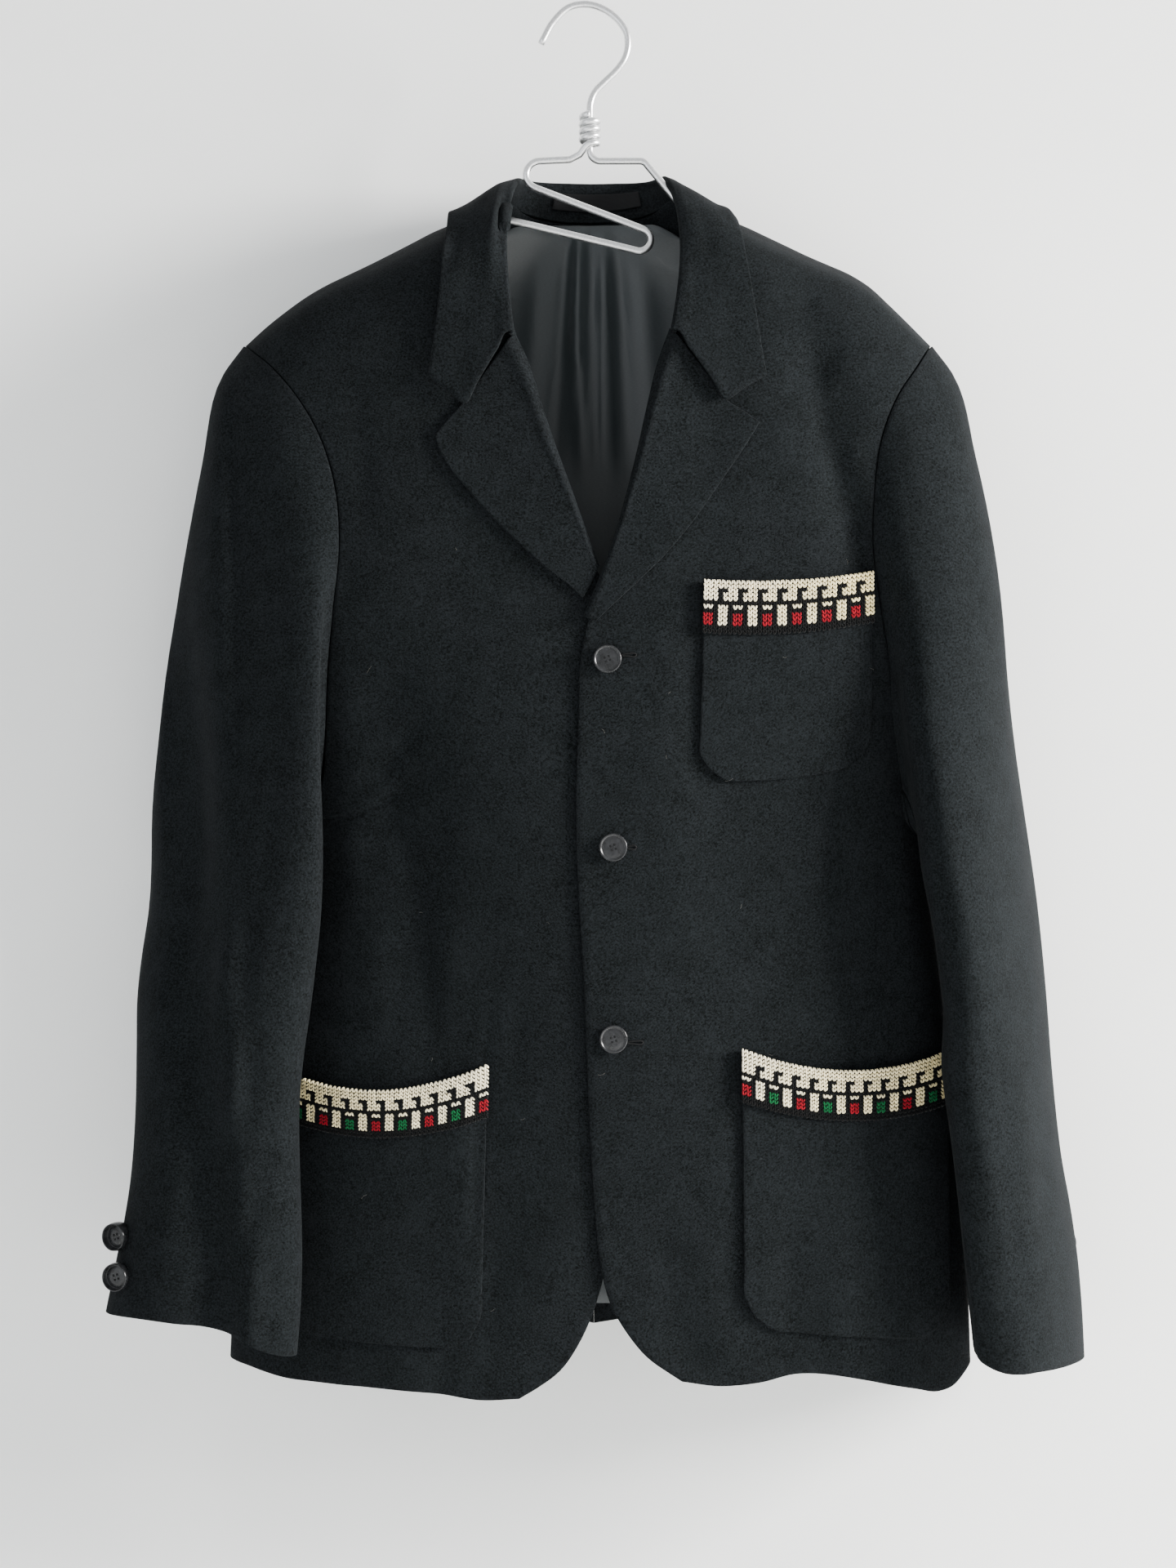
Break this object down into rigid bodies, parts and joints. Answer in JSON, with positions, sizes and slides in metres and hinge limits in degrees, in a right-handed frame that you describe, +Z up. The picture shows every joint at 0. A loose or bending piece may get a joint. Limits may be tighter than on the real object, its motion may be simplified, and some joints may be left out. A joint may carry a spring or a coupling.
{
  "type": "wool jacket with patch pockets on a wire hanger",
  "caption": "Black single-breasted wool jacket with notched lapels and knit-topped patch pockets, hanging on a bent wire hanger.",
  "frame": {"origin": "inner top of the hanger hook, where a peg or rail carries it", "axes": "+X to the wearer's left (the picture's right), -Y out of the jacket's front, +Z up"},
  "size_m": [0.6383, 0.1401, 0.9093],
  "materials": {
    "black_wool": "felted black wool with a soft nap",
    "lining_satin": "dark grey-green satin",
    "knit_wool": "cream stranded knit with black, red and green blocks",
    "woven_label": "plain black woven label",
    "polished_button": "polished dark grey horn look",
    "satin_aluminium": "satin drawn wire"
  },
  "bodies": {
    "root": {"front_left": "black_wool", "front_right": "black_wool", "back_left": "black_wool", "back_right": "black_wool", "collar": "black_wool", "lapel_left": "black_wool", "lapel_right": "black_wool", "sleeve_top_left": "black_wool", "sleeve_under_left": "black_wool", "sleeve_top_right": "black_wool", "sleeve_under_right": "black_wool", "chest_pocket": "black_wool", "hip_pocket_left": "black_wool", "hip_pocket_right": "black_wool", "back_lining": "lining_satin", "chest_knit_band": "knit_wool", "hip_knit_band_left": "knit_wool", "hip_knit_band_right": "knit_wool", "neck_label": "woven_label", "front_button_1": "polished_button", "front_button_2": "polished_button", "front_button_3": "polished_button", "cuff_button_left_1": "polished_button", "cuff_button_left_2": "polished_button", "cuff_button_right_1": "polished_button", "cuff_button_right_2": "polished_button", "hanger_hook": "satin_aluminium", "hanger_frame": "satin_aluminium"}
  },
  "joints": []
}
